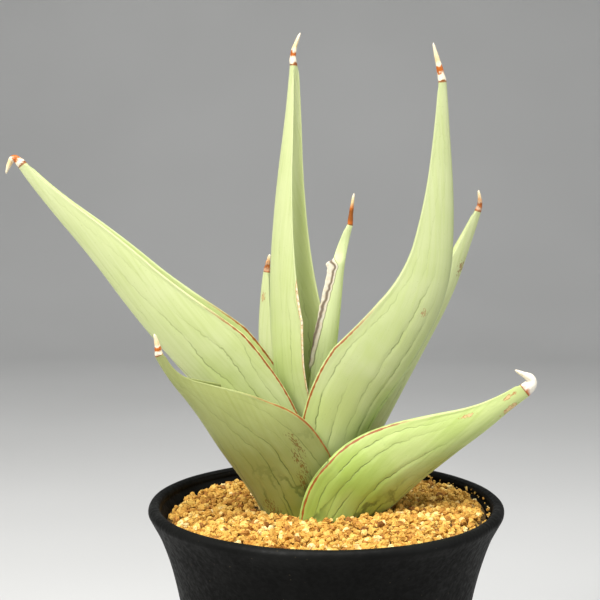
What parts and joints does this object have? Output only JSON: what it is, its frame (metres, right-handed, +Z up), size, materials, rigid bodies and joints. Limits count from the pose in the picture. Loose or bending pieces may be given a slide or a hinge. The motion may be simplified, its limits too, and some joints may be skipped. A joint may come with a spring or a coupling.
{
  "type": "potted snake plant",
  "caption": "Dwarf snake plant with keeled, boat-shaped leaves fanned in two ranks, each ending in a horny spine, in a round black flared pot topped with fine gravel.",
  "frame": {"origin": "centre of the flat underside of the pot, on the pot's axis", "axes": "+Z up along the pot's axis and the plant's height, which is the longest extent; the two ranks of leaves lean towards -X and +X, and -Y is the front"},
  "size_m": [0.1766, 0.12, 0.2613],
  "materials": {
    "pot_body": "matte",
    "mesh_plastic": "matte",
    "stones": "matte",
    "soil": "matte",
    "gravel": "matte",
    "root_flesh": "satin",
    "leaf": "satin"
  },
  "bodies": {
    "root": {"pot": "pot_body", "drain_mesh": "mesh_plastic", "drainage_stones": "stones", "potting_mix": "soil", "gravel_top_dressing": "gravel", "rhizome": "root_flesh", "leaf_lower_right": "leaf", "leaf_lower_left": "leaf", "leaf_tall_right": "leaf", "leaf_upper_left": "leaf", "leaf_tall_centre": "leaf", "leaf_inner_right": "leaf", "leaf_back_left": "leaf", "leaf_back_right": "leaf"}
  },
  "joints": []
}
